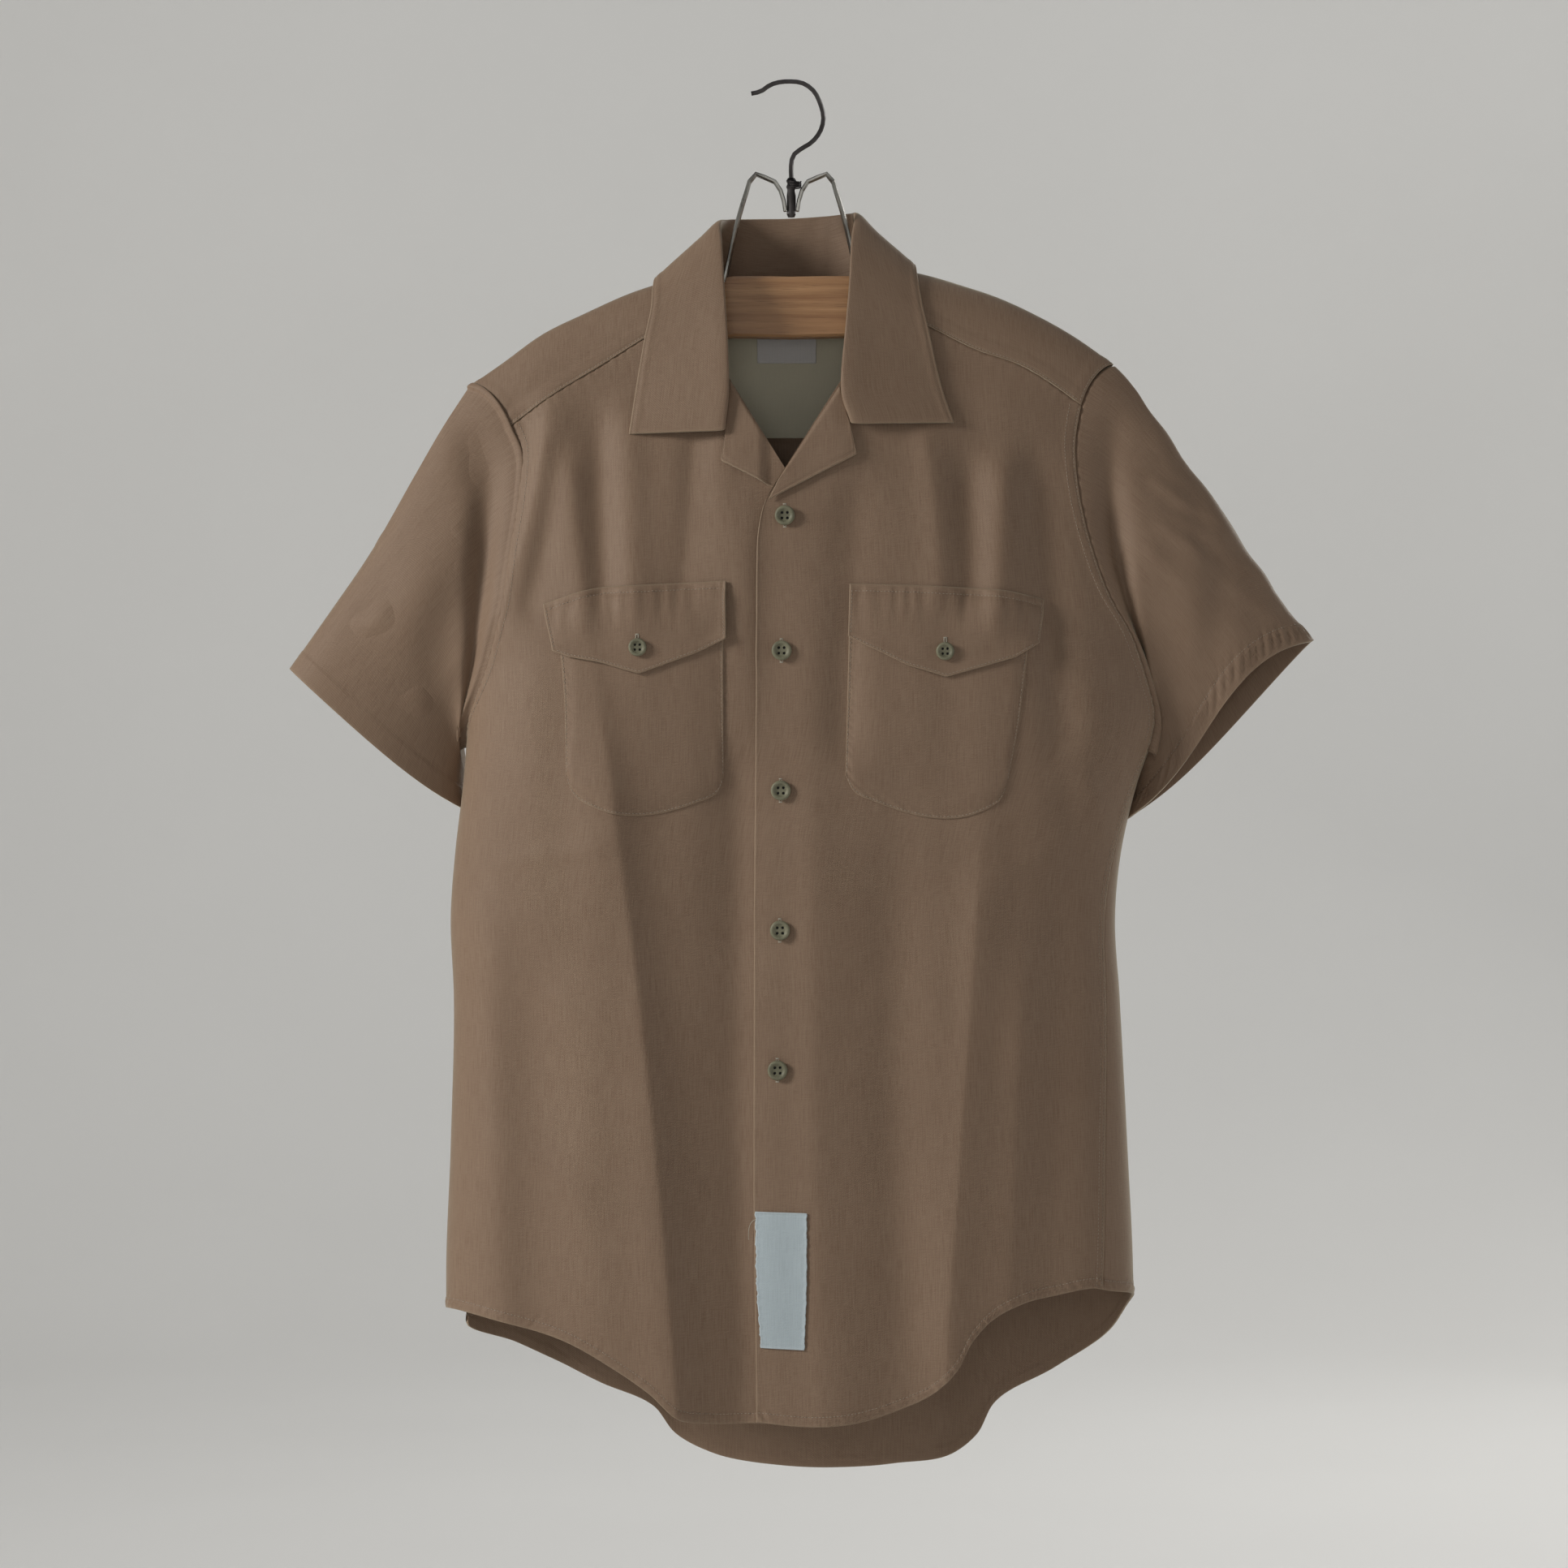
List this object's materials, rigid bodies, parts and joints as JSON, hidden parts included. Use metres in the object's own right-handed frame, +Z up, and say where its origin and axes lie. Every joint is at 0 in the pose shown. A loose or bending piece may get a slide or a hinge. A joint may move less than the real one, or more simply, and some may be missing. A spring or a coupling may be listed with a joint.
{
  "type": "work shirt on a clamp hanger",
  "caption": "Short-sleeved work shirt with open notched collar, flap pockets and shirt-tail hem, hanging flat on a wooden clamp hanger",
  "frame": {"origin": "the underside of the hook's top, where a rail or a hand holds the hanger", "axes": "+Z up, +X to the viewer's right (the wearer's left), -Y the way the shirt's front faces"},
  "size_m": [0.6738, 0.1231, 0.9228],
  "materials": {
    "twill": "woven work cloth, matt with a slight sheen",
    "lining_cloth": "plain woven lining, matt",
    "label_cloth": "woven label tape, matt",
    "button_plastic": "moulded, satin",
    "beech": "clear varnish, satin",
    "nickel_wire": "plated wire",
    "dark_wire": "oiled dark steel"
  },
  "bodies": {
    "root": {"front_over": "twill", "front_under": "twill", "back": "twill", "yoke": "twill", "sleeve_left": "twill", "sleeve_right": "twill", "collar": "twill", "lapel_over": "twill", "lapel_under": "twill", "pocket_left": "twill", "pocket_right": "twill", "pocket_flap_left": "twill", "pocket_flap_right": "twill", "yoke_lining": "lining_cloth", "neck_label": "label_cloth", "patch_label": "label_cloth", "front_button_1": "button_plastic", "front_button_2": "button_plastic", "front_button_3": "button_plastic", "front_button_4": "button_plastic", "front_button_5": "button_plastic", "pocket_button_left": "button_plastic", "pocket_button_right": "button_plastic", "hanger_slat_front": "beech", "hanger_slat_back": "beech", "hanger_hook": "dark_wire", "hanger_ferrule": "nickel_wire", "hanger_clamp_front_left": "nickel_wire", "hanger_clamp_front_right": "nickel_wire", "hanger_clamp_back_left": "nickel_wire", "hanger_clamp_back_right": "nickel_wire"}
  },
  "joints": []
}
